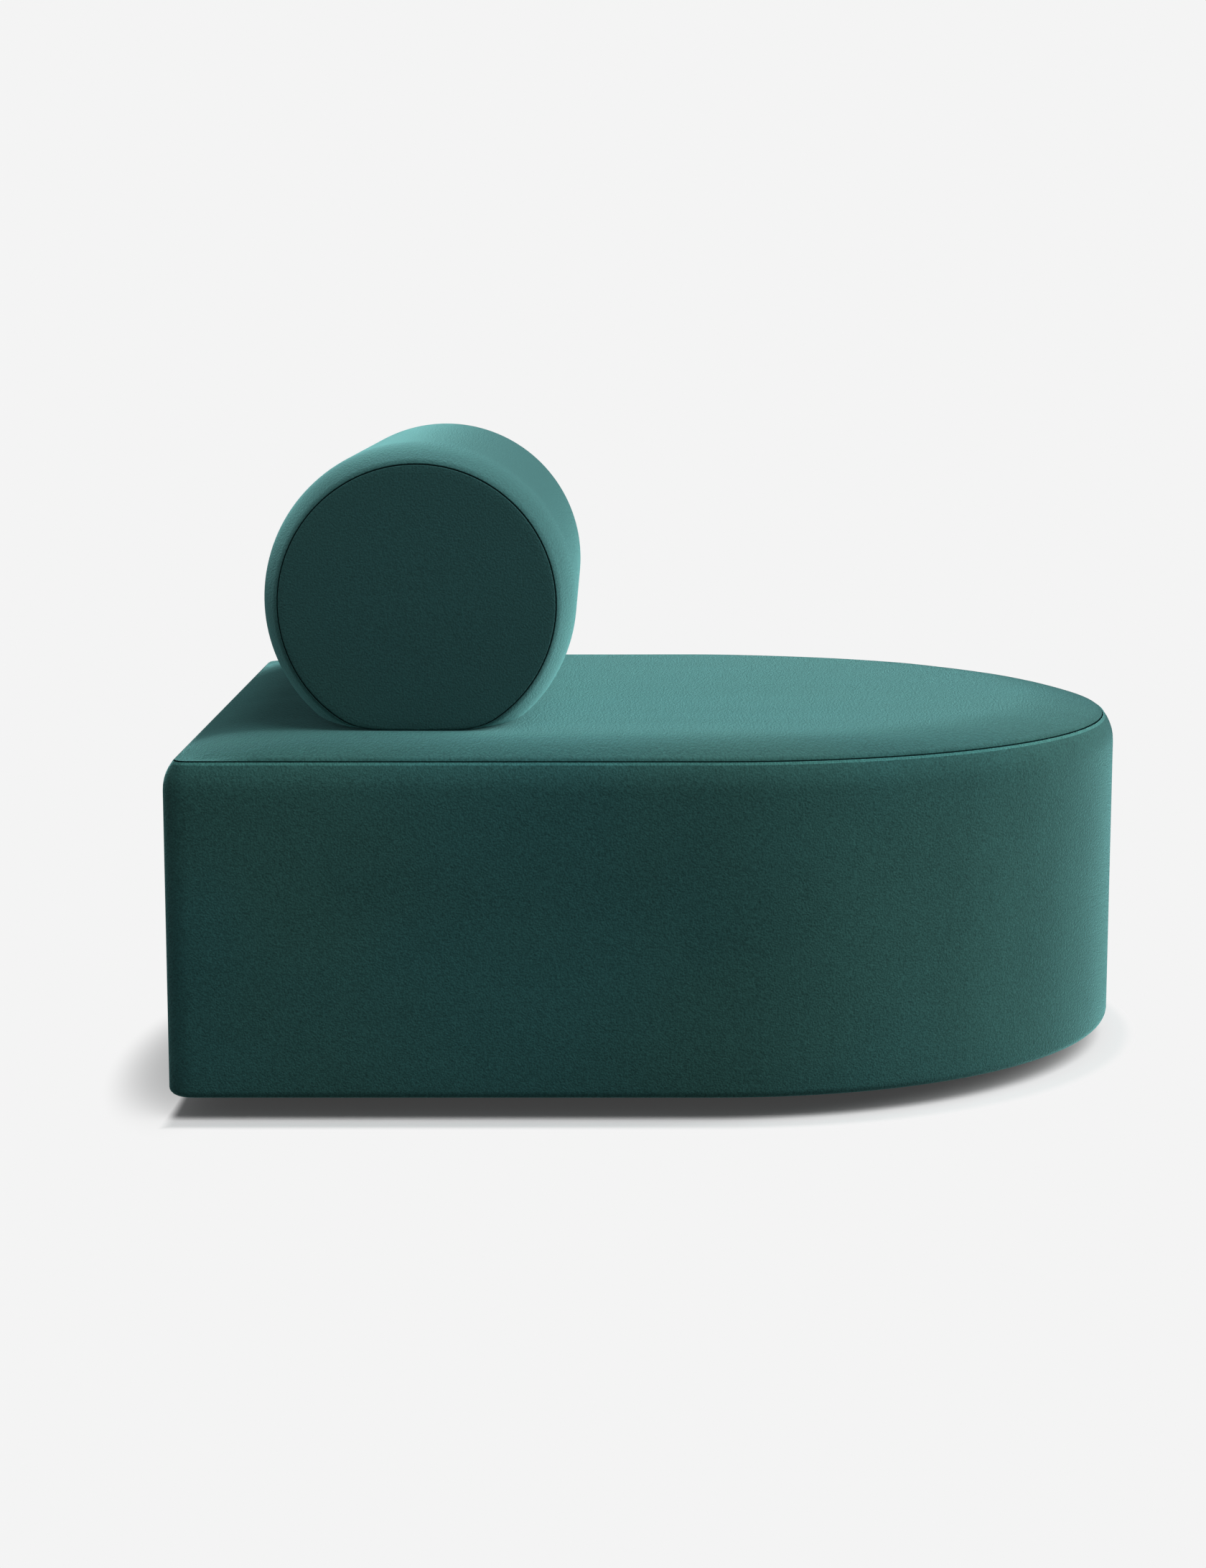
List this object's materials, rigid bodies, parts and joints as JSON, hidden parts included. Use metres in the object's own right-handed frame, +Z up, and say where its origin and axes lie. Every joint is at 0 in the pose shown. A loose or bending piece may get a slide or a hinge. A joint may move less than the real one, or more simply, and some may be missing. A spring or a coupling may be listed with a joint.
{
  "type": "armless chaise",
  "caption": "Low upholstered armless chaise with one square end, one half-round nose and a lift-off log bolster across the seat as a backrest.",
  "frame": {"origin": "on the floor, at the middle of the chaise's length and width", "axes": "+X from the square end towards the round nose, +Z up, -Y towards the pictured front"},
  "size_m": [1.224, 1.112, 0.8123],
  "materials": {
    "velvet": "deep teal velvet, short pile with a light sheen",
    "bolster_velvet": "deep teal velvet, short pile with a light sheen",
    "lining": "black woven lining cloth",
    "plywood": "raw birch plywood",
    "softwood": "planed softwood",
    "webbing": "woven elastic webbing",
    "hessian": "plain hessian",
    "foam": "open-cell polyurethane foam",
    "wadding": "polyester wadding",
    "black_plastic": "moulded black plastic",
    "socket_nylon": "natural nylon",
    "zinc_steel": "zinc-plated steel",
    "eyelet_metal": "blackened steel"
  },
  "bodies": {
    "body": {"base_ring": "plywood", "deck_ring": "plywood", "front_panel": "plywood", "rear_panel": "plywood", "end_panel": "plywood", "nose_skin": "plywood", "end_posts": "softwood", "bolster_posts": "softwood", "nose_posts": "softwood", "bolster_beams": "softwood", "spreader_rail": "softwood", "glue_blocks": "softwood", "webbing_lengthwise": "webbing", "webbing_crosswise": "webbing", "decking_cloth": "hessian", "seat_foam": "foam", "seat_wadding": "wadding", "cover_top_panel": "velvet", "side_padding": "foam", "cover_side_band": "velvet", "dust_cover": "lining", "feet": "black_plastic", "pin_sockets": "socket_nylon", "cover_eyelets": "eyelet_metal"},
    "bolster": {"bolster_tube_cover": "bolster_velvet", "bolster_front_disc": "bolster_velvet", "bolster_rear_disc": "bolster_velvet", "bolster_wadding": "wadding", "bolster_base_cloth": "lining", "bolster_board": "plywood", "bolster_core": "foam", "locating_pins": "zinc_steel", "pin_plates": "zinc_steel"}
  },
  "joints": [
    {"name": "bolster_lift", "type": "slide", "parent": "body", "child": "bolster", "axis": [0, 0, 1], "range_m": [0, 0.16]}
  ]
}
